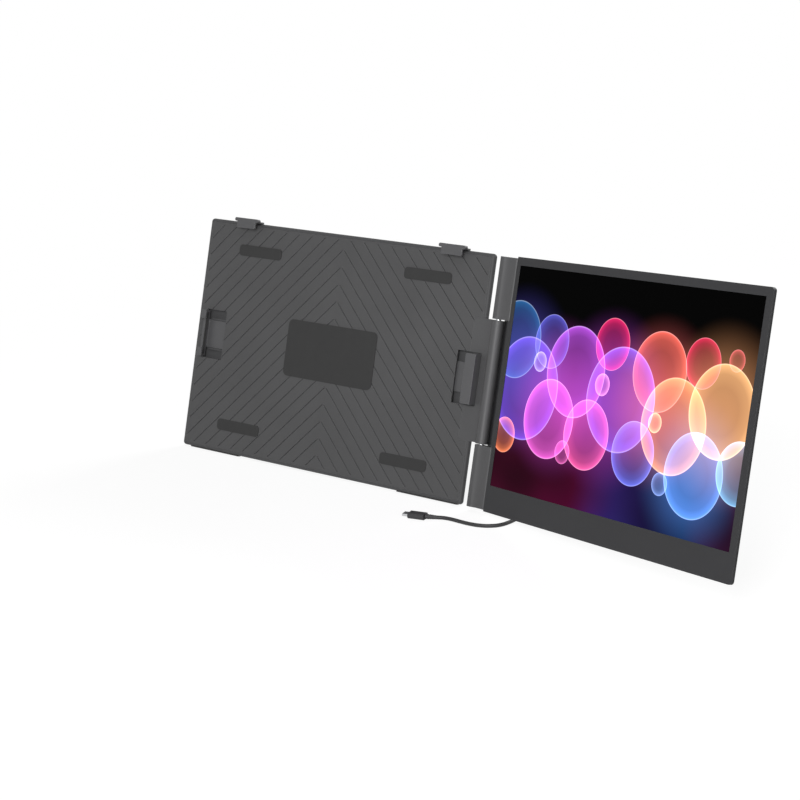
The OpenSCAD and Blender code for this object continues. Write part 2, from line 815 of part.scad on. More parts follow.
// Slots through the back of the box: level ones for the sound of each speaker, and an
// upright row that lets the circuit board's warm air out
module shell_slots() {
    y = [box_back - 2 * screen_wall, box_back + 1];
    half = slot_w / 2;
    for (x = speaker_s, i = [-2.5:2.5])
        slab([x + 5, x + speaker_l - 5], y,
             [speaker_z + 4 * i - half, speaker_z + 4 * i + half], half - 0.1);
    for (i = [0:vents - 1])
        slab([vent_s + 8 * i - half, vent_s + 8 * i + half], y, vent_z, half - 0.1);
}

module screen_shell() {
    color("#161718") on_screen()
        difference() {
            union() {
                difference() {
                    shell_form(0, rim_y);
                    shell_form(screen_wall, rim_y - 1);
                }
                relief_wall();
                for (x = screw_s, z = screw_h)
                    peg_y(x, z, light_back + 0.2, box_back - 1, 2.6);
                for (x = arm_screw_x, z = arm_z, k = arm_screw_k)
                    peg_y(x, z + k, light_back + 0.1 + steel_t, screen_back - 1, 2.4);
            }
            knuckle_bays();
            barrel_relief();
            shell_slots();
            for (z = port_z)
                translate([box_x[0] - 3, port_y, z]) along_s(8) stadium(9.6, 3.9);
            for (z = button_z)
                rod_x(button_y, z, box_x[1] - 4, box_x[1] + 2, button_r + 0.3);
            for (x = screw_s, z = screw_h) {
                peg_y(x, z, 0, box_back + 1, 1.3);
                peg_y(x, z, box_back - 1.1, box_back + 1, 2.4);
            }
            for (x = arm_screw_x, z = arm_z, k = arm_screw_k)
                peg_y(x, z + k, light_back, screen_back - 0.5, 1);
        }
}

// Extrudes an outline along the screen's width, with the outline's X axis upright
module along_s(l) {
    rotate([90, 0, 90]) linear_extrude(l) rotate(90) children();
}

module arm_screws() {
    y = light_back + 0.1;
    color("#6f7275") on_screen()
        for (x = arm_screw_x, z = arm_z, k = arm_screw_k) {
            peg_y(x, z + k, y + 0.05, y + 0.8, 2.1);
            peg_y(x, z + k, y + 0.8, screen_back - 0.6, 1);
        }
}

module screen_screws() {
    color("#6f7275") on_screen()
        for (x = screw_s, z = screw_h) screw(x, z, box_back - 1.1, light_y + 0.6);
}

// Circuit board with its driver chips and the connector of the panel's flat cable
module main_board() {
    y = port_y - 2.1;
    color("#1f5138") on_screen() {
        box([box_x[0] + 3, 225], [y - 1.2, y], [29, 74]);
        for (c = [[112, 40, 14], [140, 52, 9], [165, 38, 7], [188, 55, 11]])
            box([c[0], c[0] + c[2]], [y - 0.1, y + 1.2], [c[1], c[1] + c[2]]);
        box([150, 182], [y - 0.1, y + 1.8], [69, 73]);
    }
}

// Two USB-C sockets, each a metal shell with its contact tongue
module usb_c_sockets() {
    x0 = box_x[0] + 0.5;
    color("#b4b7ba") on_screen()
        for (z = [port_z[0], port_z[1]])
            translate([x0, port_y, z]) {
                difference() {
                    along_s(8) stadium(9.2, 3.5);
                    translate([-1, 0, 0]) along_s(8) stadium(8.6, 2.8);
                }
                translate([1.6, 0, 0]) along_s(6) square([6.2, 0.7], center = true);
            }
}

module video_socket() {
    color("#b4b7ba") on_screen()
        translate([box_x[0] + 0.5, port_y, port_z[2]])
            difference() {
                along_s(8) stadium(9.2, 3.3);
                translate([-1, 0, 0]) along_s(8) stadium(8.4, 2.4);
            }
}

module speakers() {
    color("#2b2c2e") on_screen()
        for (x = speaker_s) {
            slab([x, x + speaker_l], [port_y - 4.2, port_y + 1.2],
                 [speaker_z - speaker_l / 2, speaker_z + speaker_l / 2], 3);
            peg_y(x + speaker_l / 2, speaker_z, port_y + 1.1, port_y + 1.7, 12);
        }
}

module button_board() {
    x = box_x[1] - 7;
    color("#1f5138") on_screen() {
        box([x, x + 1.2], [button_y - 3.4, button_y + 2.6], [24, 68]);
        for (z = button_z) box([x + 1, x + 2.8], [button_y - 1.6, button_y + 1.6], [z - 1.6, z + 1.6]);
    }
}

// Push button in the side wall of the box, with a collar that keeps it in
module push_button(z) {
    x = box_x[1];
    color("#2a2b2d") on_screen() {
        rod_x(button_y, z, x - 2.6, x + 0.9, button_r);
        difference() {
            rod_x(button_y, z, x - 2.9, x - screen_wall - 0.1, button_r + 0.8);
            box([x - 4, x], [button_y + 2.7, button_y + 5], [z - 4, z + 4]);
        }
    }
}

module power_button() { push_button(button_z[0]); }
module minus_button() { push_button(button_z[1]); }
module plus_button() { push_button(button_z[2]); }

// ---------------------------------------------------------------- cord

// Catmull-Rom curve through the points p, with k steps between neighbours
function curve(p, k) = concat(
    [for (i = [0:len(p) - 2], j = [0:k - 1])
        let (a = p[max(i - 1, 0)], b = p[i], c = p[i + 1], d = p[min(i + 2, len(p) - 1)], t = j / k)
        (2 * b + (c - a) * t + (2 * a - 5 * b + 4 * c - d) * t * t
            + (3 * b - a - 3 * c + d) * t * t * t) / 2],
    [p[len(p) - 1]]);

function unit(v) = v / norm(v);

// Directions of the curve at its points
function headings(q) = [for (i = [0:len(q) - 1])
    unit(q[min(i + 1, len(q) - 1)] - q[max(i - 1, 0)])];

// Side vectors carried along the headings h without twist, from the side vector s
function carried(h, s, i = 0) = i == len(h) ? [] :
    let (n = unit(s - (s * h[i]) * h[i])) concat([n], carried(h, n, i + 1));

// Tube of radius r swept along the points q
module tube(q, r, sides) {
    h = headings(q);
    n = carried(h, [0, 0, 1]);
    rings = [for (i = [0:len(q) - 1], a = [0:sides - 1])
        let (w = (a + 0.5) * 360 / sides) q[i] + r * (cos(w) * n[i] + sin(w) * cross(h[i], n[i]))];
    sides_of = [for (i = [0:len(q) - 2], a = [0:sides - 1])
        let (b = (a + 1) % sides, k = i * sides)
        [k + a, k + sides + a, k + sides + b, k + b]];
    last = (len(q) - 1) * sides;
    polyhedron(rings, concat(sides_of, [[for (a = [0:sides - 1]) a],
        [for (a = [sides - 1:-1:0]) last + a]]));
}

// Moves a piece drawn along Z to point a, so that it points to b
module aim(a, b) {
    d = b - a;
    translate(a) rotate([0, acos(d[2] / norm(d)), atan2(d[1], d[0])]) children();
}

// Ribbed strain relief along Z that narrows to the cord
module relief(l) {
    ribs = 4;
    cylinder(h = l, r1 = cord_d / 2 + 0.5, r2 = cord_d / 2);
    for (i = [0:ribs - 1])
        translate([0, 0, l * i / (ribs + 1)])
            cylinder(h = l / (2 * ribs + 2), r = cord_d / 2 + 0.8 - 0.15 * i);
}

module usb_cord() {
    color("#2b2c2e") tube(curve(cord_route, cord_steps), cord_d / 2, cord_sides);
}

module screen_plug() {
    x = screen_plug_s;
    color("#3a3b3d") on_screen() {
        translate([x[0], port_y, port_z[0]]) along_s(x[1] - x[0]) stadium(plug[0], plug[1]);
        translate([x[0] + 0.01, port_y, port_z[0]]) rotate([0, -90, 0]) relief(relief_l);
    }
}

module screen_plug_shell() {
    color("#b4b7ba") on_screen()
        translate([screen_plug_s[1], port_y, port_z[0]])
            difference() {
                along_s(6.6) stadium(plug_shell[0], plug_shell[1]);
                translate([1, 0, 0]) along_s(6.6) stadium(7, 1.3);
            }
}

module laptop_plug() {
    a = laptop_plug_start;
    b = laptop_plug_end;
    color("#3a3b3d") {
        aim(a, b) linear_extrude(norm(b - a)) rotate(90) stadium(plug[0], plug[1]);
        aim(a, cord_route[len(cord_route) - 1])
            relief(norm(cord_route[len(cord_route) - 1] - a));
    }
}

module laptop_plug_shell() {
    a = laptop_plug_start;
    b = laptop_plug_end;
    color("#b4b7ba")
        aim(b, 2 * b - a)
            difference() {
                linear_extrude(6.6) rotate(90) stadium(plug_shell[0], plug_shell[1]);
                translate([0, 0, 1]) linear_extrude(6.6) rotate(90) stadium(7, 1.3);
            }
}

// ---------------------------------------------------------------- nodes

back_cover();
front_panel();
carry_sheet();
spine_cover();
leaf_lower();
leaf_upper();
torque_bands();
leaf_screws();
plate_screws();
lid_pads();
bottom_feet();
clip_guides();
lift_springs();
slider_brakes();
stand_brackets();
stand_pin();
top_clip_left();
top_pad_left();
top_clip_right();
top_pad_right();
side_clip_left();
side_pad_left();
side_clip_right();
side_pad_right();
stand_leg();
stand_foot();
screen_shell();
front_bezel();
lcd_panel();
backlight_unit();
main_board();
usb_c_sockets();
video_socket();
speakers();
button_board();
power_button();
minus_button();
plus_button();
knuckle_lower();
knuckle_upper();
arm_lower();
arm_upper();
hinge_shafts();
arm_screws();
screen_screws();
screen_plug();
screen_plug_shell();
usb_cord();
laptop_plug();
laptop_plug_shell();
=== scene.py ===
# %% [markdown]
# # A screen extender for a laptop
#
# The object is a flat clamp plate that grips the lid of a laptop, and a second screen on
# a three-knuckle hinge at the plate's right edge. The moving model is already built and
# packed, and it arrives here as a fixed frame: one object for each piece, each on the
# body that it moves with. This lesson gives those pieces their finishes, adds the cord
# and a few finer shapes, lights the set and places the camera. One unit is one metre.

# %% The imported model
import json
import math

import bmesh
import bpy
from mathutils import Euler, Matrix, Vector


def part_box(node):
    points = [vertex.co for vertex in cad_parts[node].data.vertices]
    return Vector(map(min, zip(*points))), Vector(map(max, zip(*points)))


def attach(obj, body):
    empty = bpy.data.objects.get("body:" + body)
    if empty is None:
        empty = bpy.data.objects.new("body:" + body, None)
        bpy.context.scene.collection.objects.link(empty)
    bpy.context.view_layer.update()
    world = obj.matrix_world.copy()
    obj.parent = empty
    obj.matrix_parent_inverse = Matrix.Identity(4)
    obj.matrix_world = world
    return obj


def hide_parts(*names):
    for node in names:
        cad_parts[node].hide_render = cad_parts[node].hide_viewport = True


MM = 0.001

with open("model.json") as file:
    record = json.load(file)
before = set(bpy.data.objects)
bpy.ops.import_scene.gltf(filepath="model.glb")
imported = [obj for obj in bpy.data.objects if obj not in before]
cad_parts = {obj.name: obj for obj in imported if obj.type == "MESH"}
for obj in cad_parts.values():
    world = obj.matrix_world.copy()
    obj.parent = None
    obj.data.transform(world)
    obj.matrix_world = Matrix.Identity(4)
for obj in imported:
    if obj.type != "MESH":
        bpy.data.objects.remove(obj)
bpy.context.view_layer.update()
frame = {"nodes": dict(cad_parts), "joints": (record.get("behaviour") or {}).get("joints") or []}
nodes = frame["nodes"]

# %% [markdown]
# ## The camera
#
# A long lens keeps the verticals nearly parallel, as a product picture does. The camera
# stands to the right of the pair and a little above them, and it is rolled by 3 degrees.
# Setting its place and turn as given, and not by aiming it at a point, keeps that roll.

# %% Camera
LENS_MM = 92.69
CAMERA_PLACE = Vector((1.3617, -1.5485, 0.5944))
CAMERA_TURN = Euler([math.radians(a) for a in (72.50, 3.127, 38.374)])

camera = bpy.data.objects.new("camera", bpy.data.cameras.new("camera"))
camera.data.lens = LENS_MM
camera.location = CAMERA_PLACE
camera.rotation_euler = CAMERA_TURN
bpy.context.scene.collection.objects.link(camera)
bpy.context.scene.camera = camera
print("camera", [round(c, 3) for c in camera.location])

# %% [markdown]
# ## The cord
#
# The screen gets its power and picture through a short USB-C lead. It leaves the plug on
# the screen's left side, comes down behind the hinge, swings round to the right in a
# loose bow and ends at the plug that goes into the laptop. A curve object suits it: a
# spline through a few given points, with a round bevel as its jacket. The points are
# those of the imported cord, so the lead lies where its plugs are. The bevel is one metre
# deep and each point's radius brings it down to the jacket's: a curve's box is its points
# grown by their radius, so the usual radius of 1 would report a lead two metres thick.

# %% Cord
CORD_D = 3.8 * MM
# The smooth curve is a hundredth longer than the straight steps between its points
CORD_ROUTE = [
    (258.1, -35, -82.3), (248.6, -31.9, -83.3), (237, -26, -87), (227, -17, -96),
    (224, -5, -107), (229, 5, -116), (240, 8, -119.9), (251, 3, -119.9),
    (258, -8, -119.9), (260.5, -22, -119.9), (260.5, -36, -119.9), (260, -49, -119.9),
    (256.5, -60.5, -119.9), (249.5, -67.5, -119.9), (240.5, -71.5, -119.9),
    (230, -73, -119.9), (218, -72.8, -119.9), (206, -72, -119.9),
    (197, -73, -119.9), (191.5, -75.5, -119.7),
]


def lead(name, points, diameter):
    """A round cord through the points, as one smooth open spline."""
    curve = bpy.data.curves.new(name, "CURVE")
    curve.dimensions = "3D"
    curve.bevel_depth = 1
    curve.bevel_resolution = 6
    curve.resolution_u = 10
    curve.use_fill_caps = True
    spline = curve.splines.new("BEZIER")
    spline.bezier_points.add(len(points) - 1)
    for knot, point in zip(spline.bezier_points, points):
        knot.co = point
        knot.radius = diameter / 2
        knot.handle_left_type = knot.handle_right_type = "AUTO"
    piece = bpy.data.objects.new(name, curve)
    bpy.context.scene.collection.objects.link(piece)
    return piece


route = [Vector(point) * MM for point in CORD_ROUTE]
usb_lead = lead("usb_lead", route, CORD_D)
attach(usb_lead, "screen")
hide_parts("usb_cord")

# %% [markdown]
# ## Shader values with arithmetic
#
# A finish is a small program: a pattern, some sums and a few colours. Linking Math nodes
# by hand hides those sums, so a small class wraps an output socket and lets it stand in
# an expression. `1 - mask` then adds one Math node. Every other node comes from `add`,
# which sets the node's own settings first and its sockets after that. A few short methods
# name the nodes that nearly every finish uses. The same class serves the world, whose
# last node is a Background and not a Principled BSDF.


# %% Wire and Finish
class Wire:
    """An output socket that can be used in sums. Each operator adds one Math node."""

    def __init__(self, finish, socket):
        self.finish = finish
        self.socket = socket

    def __add__(self, other):
        return self.finish.math("ADD", self, other)

    __radd__ = __add__

    def __sub__(self, other):
        return self.finish.math("SUBTRACT", self, other)

    def __rsub__(self, other):
        return self.finish.math("SUBTRACT", other, self)

    def __mul__(self, other):
        return self.finish.math("MULTIPLY", self, other)

    __rmul__ = __mul__

    def __truediv__(self, other):
        return self.finish.math("DIVIDE", self, other)

    def __pow__(self, power):
        return self.finish.math("POWER", self, power)


class Finish:
    """The nodes of a material or a world in the making. end is its last node."""

    def __init__(self, owner, end="Principled BSDF"):
        owner.use_nodes = True
        self.owner = owner
        self.nodes = owner.node_tree.nodes
        self.links = owner.node_tree.links
        self.end = self.nodes[end]

    def put(self, socket, value):
        """Gives a socket a value, or the link that a Wire stands for."""
        if isinstance(value, Wire):
            self.links.new(value.socket, socket)
        elif hasattr(value, "__len__") and len(value) == 3 and socket.type == "RGBA":
            socket.default_value = (*value, 1)
        else:
            socket.default_value = value

    def add(self, kind, settings=None, values=None, out=0):
        """Adds a node of that kind and returns its output named or numbered out."""
        node = self.nodes.new("ShaderNode" + kind)
        for key, value in (settings or {}).items():
            if key == "stops":
                self.set_stops(node.color_ramp, value)
            else:
                setattr(node, key, value)
        for key, value in (values or {}).items():
            self.put(node.inputs[key], value)
        return Wire(self, node.outputs[out])

    def set_stops(self, ramp, stops):
        """Sets a ramp's stops, each a place from 0 to 1 and a colour."""
        while len(ramp.elements) < len(stops):
            ramp.elements.new(1)
        for element, (place, colour) in zip(ramp.elements, stops):
            element.position = place
            element.color = (*colour, 1)

    def set(self, **values):
        """Sets the last node's sockets, whose names are written with _ for a space."""
        for key, value in values.items():
            self.put(self.end.inputs[key.replace("_", " ")], value)
        return self.owner

    def math(self, operation, *terms):
        """One step of arithmetic."""
        return self.add("Math", {"operation": operation}, dict(enumerate(terms)))

    def vector(self, operation, a, b, out="Vector"):
        """One step of arithmetic on two vectors."""
        return self.add("VectorMath", {"operation": operation}, {0: a, 1: b}, out)

    def dot(self, a, b):
        """How far vector a reaches along b."""
        return self.vector("DOT_PRODUCT", a, b, "Value")

    def mix(self, share, a, b):
        """Colour a where share is 0, and b where it is 1."""
        # A Mix node keeps its colours in inputs 6 and 7, and their result in output 2
        return self.add("Mix", {"data_type": "RGBA"}, {0: share, 6: a, 7: b}, out=2)

    def noise(self, place, scale, detail=2):
        """Soft spots from 0 to 1, about scale of them to the metre."""
        return self.add("TexNoise", values={"Vector": place, "Scale": scale, "Detail": detail})

    def bump(self, height, strength, distance, **more):
        """A normal that height makes uneven."""
        values = {"Height": height, "Strength": strength, "Distance": distance}
        return self.add("Bump", values={**values, **more})


def shade(colour, factor, lift=0):
    """A darker or paler colour, which lift also moves towards white."""
    return [c * factor + lift for c in colour]


def dress(material, *names):
    """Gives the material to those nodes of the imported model."""
    for name in names:
        for slot in nodes[name].material_slots:
            slot.material = material
    print(f"{material.name}: {', '.join(names)}")


# %% [markdown]
# ## Moulded plastic
#
# The covers are spark-textured ABS. Close up it has a grain of about half a millimetre
# that scatters light, a slow change of tone from the mould's flow, and edges that
# handling has rubbed smoother and paler. The grain is bump, and both patterns shift the
# colour and the roughness a little. A Bevel node finds the edges: where its rounded
# normal leaves the flat one, the surface turns a corner. The same node also gives each
# sharp edge the small radius that catches the light.
#
# On the ribbed front panel the floors of the grooves are darker. This is painted shade,
# which stands in for the shade that falls into the grooves. They are told from the rest
# by how far they lie below the panel's face.

# %% Moulded plastic
FLOW_SCALE = 14
TONE_SWING = 0.25
RIM_GAIN = 5
GROOVE_DEPTH = 0.5 * MM
GROOVE_SLACK = 0.2 * MM
# How dark the painted shade on the groove floors is, as a share of the colour
GROOVE_SHADE = 0.45


def front_of(name):
    """The way a piece's broad front faces, and how far out along it the piece reaches."""
    mesh = nodes[name].data
    faces = [face for face in mesh.polygons if face.normal.y < 0]
    out = max(faces, key=lambda face: face.area).normal.copy()
    return out, max(vertex.co.dot(out) for vertex in mesh.vertices)


def painted_groove_shade(finish, place, flat, name):
    """1 on the floors of the grooves in the front of that piece, where shade is painted, and 0
    elsewhere.
    """
    out, reach = front_of(name)
    sunk = reach - finish.dot(place, out)
    at_depth = finish.math("COMPARE", sunk, GROOVE_DEPTH, GROOVE_SLACK)
    facing_out = finish.math("GREATER_THAN", finish.dot(flat, out), 0.99)
    return at_depth * facing_out


def moulded(
    name, colour, roughness, grain=0.6 * MM, depth=0.10 * MM, edge=0.5 * MM, worn=0.9,
    shine=0.25, shaded_grooves=None,
):
    """Textured plastic. worn is how much paler its edges are, shine its specular level, and
    shaded_grooves the name of the piece whose groove floors get painted shade."""
    finish = Finish(bpy.data.materials.new(name))
    place = finish.add("TexCoord", out="Object")
    flow = finish.noise(place, FLOW_SCALE, 3)
    spark = finish.noise(place, 1 / grain)
    flat = finish.add("NewGeometry", out="Normal")
    rounded = finish.add("Bevel", {"samples": 4}, {"Radius": edge})
    rim = finish.math("MINIMUM", (1 - finish.dot(flat, rounded)) * RIM_GAIN, 1.0)
    deep, pale = shade(colour, 1 - TONE_SWING), shade(colour, 1 + TONE_SWING)
    tone = finish.mix(flow * 0.6 + spark * 0.4, deep, pale)
    if shaded_grooves:
        # Painted shade: the groove floors are darkened, standing in for the shade that falls
        # into them
        floors = painted_groove_shade(finish, place, flat, shaded_grooves)
        tone = finish.mix(floors, tone, shade(colour, GROOVE_SHADE))
    return finish.set(
        Base_Color=finish.mix(rim * worn, tone, shade(colour, 1 + worn, 0.01 * worn)),
        Roughness=roughness + (flow - 0.5) * 0.12 + (spark - 0.5) * 0.1 - rim * 0.12 * worn,
        Specular_IOR_Level=shine,
        Normal=finish.bump(spark, 0.6, depth, Normal=rounded),
    )


HINGE_COLOUR = (0.058, 0.058, 0.060)
HINGE_ROUGHNESS = 0.46
HINGE_SKIN = {"depth": 0.06 * MM, "shine": 0.45, "worn": 0.35}

cover_grey = moulded("cover_grey", (0.060, 0.060, 0.062), 0.55)
# The front panel's groove floors get painted shade
panel_grey = moulded(
    "panel_grey", (0.071, 0.071, 0.0725), 0.52, depth=0.05 * MM, shaded_grooves="front_panel"
)
hinge_grey = moulded("hinge_grey", HINGE_COLOUR, HINGE_ROUGHNESS, edge=0.1 * MM, **HINGE_SKIN)
clip_grey = moulded("clip_grey", (0.075, 0.075, 0.078), 0.42, depth=0.06 * MM, shine=0.4)
bezel_grey = moulded("bezel_grey", (0.028, 0.028, 0.030), 0.46, edge=0.3 * MM, shine=0.2)
shell_black = moulded("shell_black", (0.012, 0.012, 0.013), 0.45)
plug_grey = moulded("plug_grey", (0.040, 0.040, 0.042), 0.50, grain=0.4 * MM)
dress(cover_grey, "back_cover", "clip_guides")
dress(panel_grey, "front_panel")
dress(hinge_grey, "spine_cover", "knuckle_lower", "knuckle_upper")
dress(clip_grey, "top_clip_left", "top_clip_right", "side_clip_left", "side_clip_right")
dress(bezel_grey, "front_bezel")
dress(shell_black, "screen_shell", "power_button", "minus_button", "plus_button")
dress(plug_grey, "screen_plug", "laptop_plug")

# %% [markdown]
# ## Steel
#
# The hinge's leaves, arms and shafts are bright steel with fine grinding lines, and the
# screws that show on the back are blackened. Stretching a noise pattern along one
# direction draws such lines, and letting it shake the roughness as well as the bump
# makes them glint.

# %% Steel
LINE_SCALE = 2200
LINE_STRETCH = (1, 1, 0.02)


def ground_steel(name, colour, roughness):
    """Metal with fine lines along the direction in which LINE_STRETCH is small."""
    finish = Finish(bpy.data.materials.new(name))
    place = finish.add("TexCoord", out="Object")
    lines = finish.noise(finish.vector("MULTIPLY", place, LINE_STRETCH), LINE_SCALE)
    smear = finish.noise(place, 60)
    return finish.set(
        Base_Color=finish.mix(smear, shade(colour, 0.85), colour),
        Metallic=1.0,
        Roughness=roughness + (lines - 0.5) * 0.25 + (smear - 0.5) * 0.1,
        Normal=finish.bump(lines, 0.3, 0.01 * MM),
    )


steel = ground_steel("steel", (0.56, 0.57, 0.58), 0.32)
black_steel = ground_steel("black_steel", (0.15, 0.15, 0.155), 0.36)
spring_steel = ground_steel("spring_steel", (0.42, 0.39, 0.36), 0.38)
dress(
    steel, "carry_sheet", "leaf_lower", "leaf_upper", "leaf_screws", "stand_brackets",
    "stand_pin", "arm_lower", "arm_upper", "hinge_shafts", "arm_screws", "usb_c_sockets",
    "video_socket", "screen_plug_shell", "laptop_plug_shell",
)
dress(black_steel, "plate_screws", "screen_screws")
dress(spring_steel, "torque_bands", "lift_springs")

# %% [markdown]
# ## Painted metal
#
# The kickstand is a steel flap under satin powder paint, which has a soft orange-peel
# skin: low bumps a few millimetres apart, under a finer grain.


# %% Painted metal
def powder_paint(name, colour, roughness):
    """Satin paint on metal, with its orange-peel skin."""
    finish = Finish(bpy.data.materials.new(name))
    place = finish.add("TexCoord", out="Object")
    peel = finish.noise(place, 450)
    grain = finish.noise(place, 2600)
    rounded = finish.add("Bevel", {"samples": 4}, {"Radius": 0.3 * MM})
    return finish.set(
        Base_Color=finish.mix(peel, shade(colour, 0.9), shade(colour, 1.1)),
        Roughness=roughness + (grain - 0.5) * 0.15,
        Normal=finish.bump(peel * 0.7 + grain * 0.3, 0.5, 0.04 * MM, Normal=rounded),
    )


dress(powder_paint("stand_metal", (0.062, 0.062, 0.065), 0.45), "stand_leg")

# %% [markdown]
# ## Rubber
#
# Pads, feet and the cord's jacket are dark rubber. It has almost no gloss, a dusty bloom
# that gathers in patches, and a faint sheen at grazing angles.


# %% Rubber
def rubber(name, colour, roughness, bloom=0.25):
    """Dull elastic material. bloom is how much paler its dusty patches are."""
    finish = Finish(bpy.data.materials.new(name))
    place = finish.add("TexCoord", out="Object")
    patch = finish.noise(place, 90, 4)
    return finish.set(
        Base_Color=finish.mix(patch * bloom, colour, shade(colour, 1, 0.05)),
        Roughness=roughness + (patch - 0.5) * 0.15,
        Specular_IOR_Level=0.35,
        Sheen_Weight=0.1,
        Normal=finish.bump(finish.noise(place, 3000), 0.4, 0.02 * MM),
    )


dress(
    rubber("rubber_black", (0.018, 0.018, 0.018), 0.8),
    "lid_pads", "bottom_feet", "slider_brakes", "top_pad_left", "top_pad_right",
    "side_pad_left", "side_pad_right", "stand_foot",
)
usb_lead.data.materials.append(rubber("cord_rubber", (0.018, 0.018, 0.019), 0.5, bloom=0.1))

# %% [markdown]
# ## Directions of the screen
#
# The finer shapes and the picture have to lie square on the screen, which stands turned
# and leaning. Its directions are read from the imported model: up is the hinge's axis, out
# is the way the panel's broad face looks, and right is square to both.

# %% Directions of the screen
hinge = next(joint for joint in frame["joints"] if joint["name"] == "screen_hinge")
hinge_place = Vector(hinge["pos_m"])
screen_up = Vector(hinge["axis"]).normalized()
screen_out, _ = front_of("lcd_panel")
screen_right = screen_up.cross(screen_out).normalized()
panel_points = [vertex.co for vertex in nodes["lcd_panel"].data.vertices]
panel_left = min(point.dot(screen_right) for point in panel_points)
panel_low = min(point.dot(screen_up) for point in panel_points)
print("screen faces", [round(c, 3) for c in screen_out])

# %% [markdown]
# ## Prisms
#
# All the finer shapes are prisms: an outline in a plane, pushed along the direction
# across it. An outline is a list of points, and its round stretches come from `arc`. A
# flat side keeps a sharp corner, and neighbouring facets of an arc are shaded as one
# smooth surface, because their angle is smaller than the one that counts as an edge.

# %% Prisms
SHARP_ANGLE = 20


def prism(name, body, place, axes, outline, low, high, material):
    """The outline's points go along the first two axes, and low and high along the third."""
    count = len(outline)
    points = [
        place + axes[0] * x + axes[1] * y + axes[2] * height
        for height in (low, high)
        for x, y in outline
    ]
    shape = bmesh.new()
    corners = [shape.verts.new(point) for point in points]
    shape.faces.new(corners[:count])
    shape.faces.new(corners[count:])
    for k in range(count):
        after = (k + 1) % count
        shape.faces.new(
            (corners[k], corners[after], corners[after + count], corners[k + count])
        )
    bmesh.ops.recalc_face_normals(shape, faces=shape.faces)
    mesh = bpy.data.meshes.new(name)
    shape.to_mesh(mesh)
    shape.free()
    mesh.shade_smooth()
    mesh.set_sharp_from_angle(angle=math.radians(SHARP_ANGLE))
    mesh.materials.append(material)
    piece = bpy.data.objects.new(name, mesh)
    bpy.context.scene.collection.objects.link(piece)
    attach(piece, body)
    return piece


def arc(centre, radius, start, end, steps=24):
    """Points of an arc, with angles in degrees, from the first axis towards the second."""
    turns = [math.radians(start + (end - start) * k / steps) for k in range(steps + 1)]
    x, y = centre
    return [(x + radius * math.cos(turn), y + radius * math.sin(turn)) for turn in turns]


def bar(middle, width, height):
    """The outline of an upright rectangle."""
    x, y = middle
    w, h = width / 2, height / 2
    return [(x - w, y - h), (x + w, y - h), (x + w, y + h), (x - w, y + h)]


print("prism, arc and bar are ready")

# %% [markdown]
# ## Two finer mouldings of the hinge
#
# Each knuckle of the screen runs from its round barrel into a flat wing in one hollow
# curve. The curve is an arc that touches the barrel and the wing, so its centre follows
# from their sizes by Pythagoras, and no point has to be guessed. The screen's left edge
# also has a narrow lip that closes the gap behind the middle barrel: a slice of a ring
# round the barrel, with a tail that goes into the screen's shell. Both outlines lie in
# the plane across the hinge, and all their lengths start at its axis.

# %% Hinge mouldings
BARREL_R = 6.25 * MM
WING_OUT = 1.5 * MM
HOLLOW_R = 18 * MM
BITE = 0.05 * MM
END_GAP = 0.02 * MM
LIP_GAP = 0.35 * MM
LIP_T = 0.9 * MM
LIP_START, LIP_END = -39, -80
LIP_TAIL = [(7.6 * MM, -4.6 * MM), (7.6 * MM, -3.1 * MM)]
LIP_HALF = 61.9 * MM
ACROSS_HINGE = (screen_right, screen_out, screen_up)

hollow_out = WING_OUT + HOLLOW_R
hollow_right = math.sqrt((BARREL_R + HOLLOW_R) ** 2 - hollow_out ** 2)
sweep = math.degrees(math.atan2(hollow_right, hollow_out))
hollow = arc((hollow_right, hollow_out), HOLLOW_R, 270, 270 - sweep)
# The outline closes inside the knuckle, just under the skin of its barrel and wing
inside = [(3.5 * MM, 4.8 * MM), (5.9 * MM, WING_OUT - BITE), (hollow_right, WING_OUT - BITE)]
hollow_grey = moulded("hollow_grey", HINGE_COLOUR, HINGE_ROUGHNESS, edge=0.02 * MM, **HINGE_SKIN)
hinge_height = hinge_place.dot(screen_up)
for name in ("lower", "upper"):
    knuckle = nodes["knuckle_" + name].data
    heights = [vertex.co.dot(screen_up) - hinge_height for vertex in knuckle.vertices]
    piece = prism(
        "knuckle_blend_" + name, "screen", hinge_place, ACROSS_HINGE, hollow + inside,
        min(heights) + END_GAP, max(heights) - END_GAP, hollow_grey,
    )

lip = (
    arc((0, 0), BARREL_R + LIP_GAP, LIP_START, LIP_END)
    + arc((0, 0), BARREL_R + LIP_GAP + LIP_T, LIP_END, LIP_START)
    + LIP_TAIL
)
barrel_lip = prism(
    "barrel_lip", "screen", hinge_place, ACROSS_HINGE, lip, -LIP_HALF, LIP_HALF, shell_black
)
print(f"hollow curve of {sweep:.1f} degrees")

# %% [markdown]
# ## Signs on the buttons
#
# The three buttons in the side of the screen's box are marked with the usual signs for
# power, less and more. Each is a film of pale ink, so it is a prism a twentieth of a
# millimetre high that rides on its own button. Where two strokes cross, the second is
# printed a hair thinner, so that their faces don't lie in one plane and flicker.

# %% Button signs
INK_T = 0.05 * MM
INK_STEP = 0.004 * MM
INK_BITE = 0.02 * MM
STROKE = 0.28 * MM
SPAN = 2.4 * MM
RING_R = 1.35 * MM
RING_START, RING_END = 130, 410
# The power sign's stroke stands in the ring's gap
POWER_STROKE = bar((0, 0.95 * MM), STROKE, 1.3 * MM)
FACE_SLACK = 0.01 * MM

